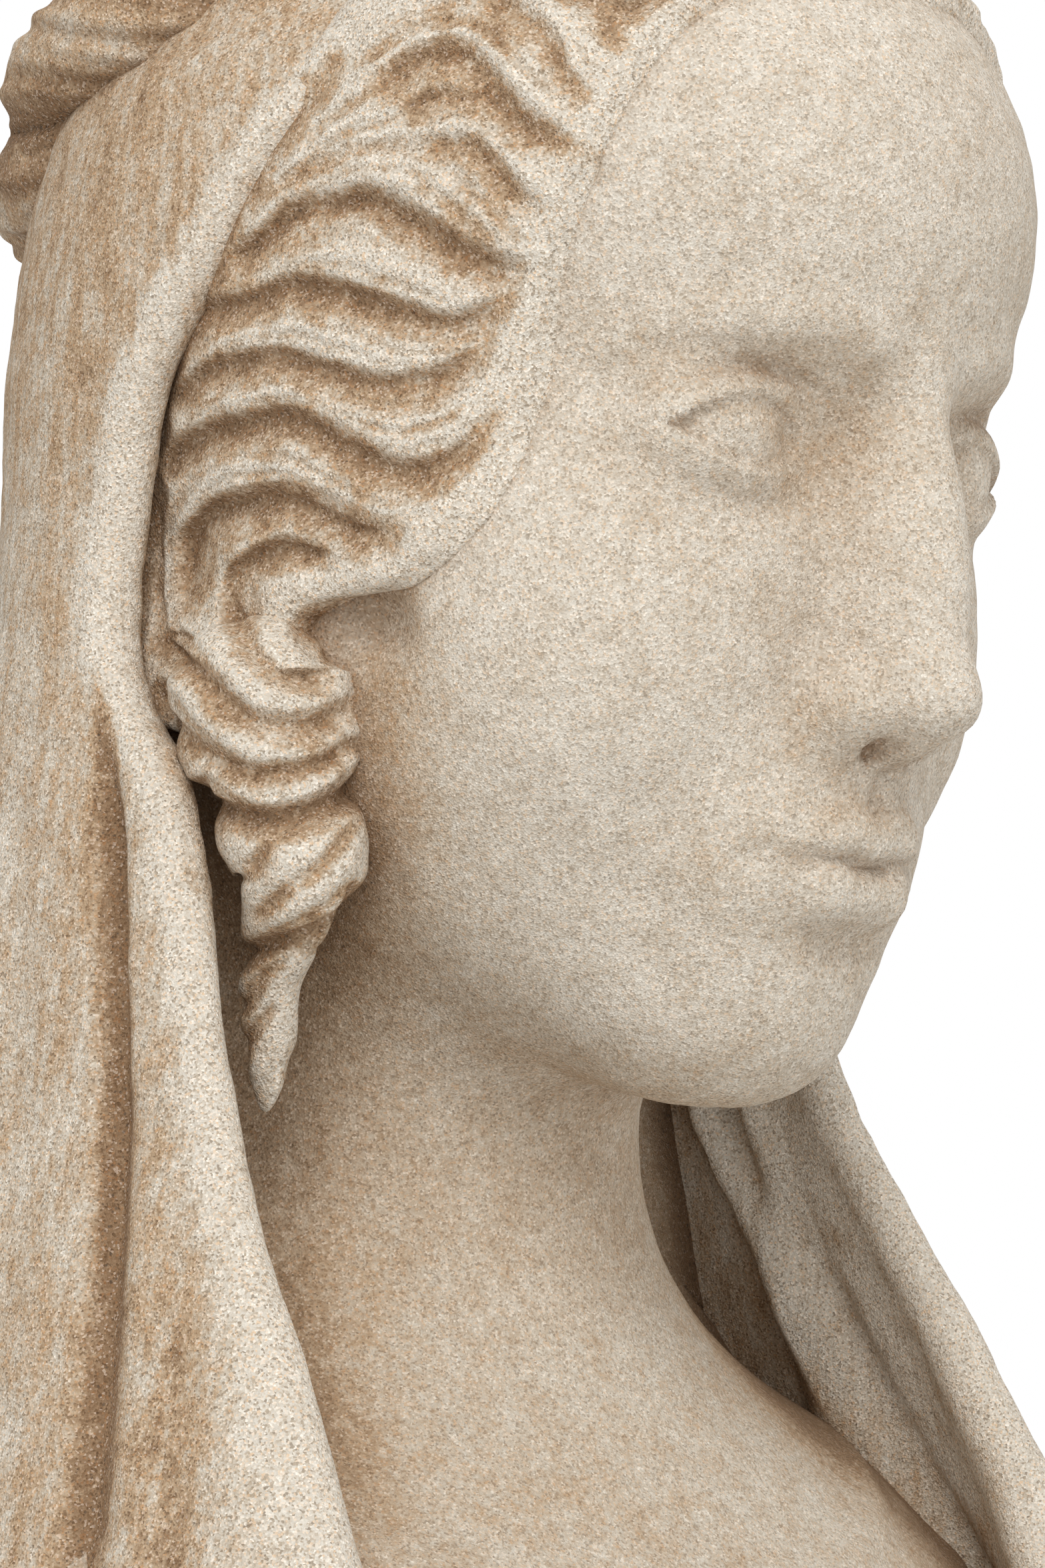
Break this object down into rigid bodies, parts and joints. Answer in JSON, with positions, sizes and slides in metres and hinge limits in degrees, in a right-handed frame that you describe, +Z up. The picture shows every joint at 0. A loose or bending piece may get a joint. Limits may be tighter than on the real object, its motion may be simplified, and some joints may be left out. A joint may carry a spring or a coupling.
{
  "type": "veiled woman's head bust, carved stone",
  "caption": "Life-size carved stone bust of a veiled woman with waved hair and a twisted cloth wreath, cut flat below to stand on a shelf or plinth.",
  "frame": {"origin": "middle of the bounding box at the flat underside", "axes": "+Z up, the figure faces -Y, +X is the figure's left"},
  "size_m": [0.2808, 0.2289, 0.3839],
  "materials": {
    "sandstone": "pale weathered sandstone with visible grains, rubbed pale on the high places and brown in the hollows"
  },
  "bodies": {
    "root": {"madonna_bust": "sandstone"}
  },
  "joints": []
}
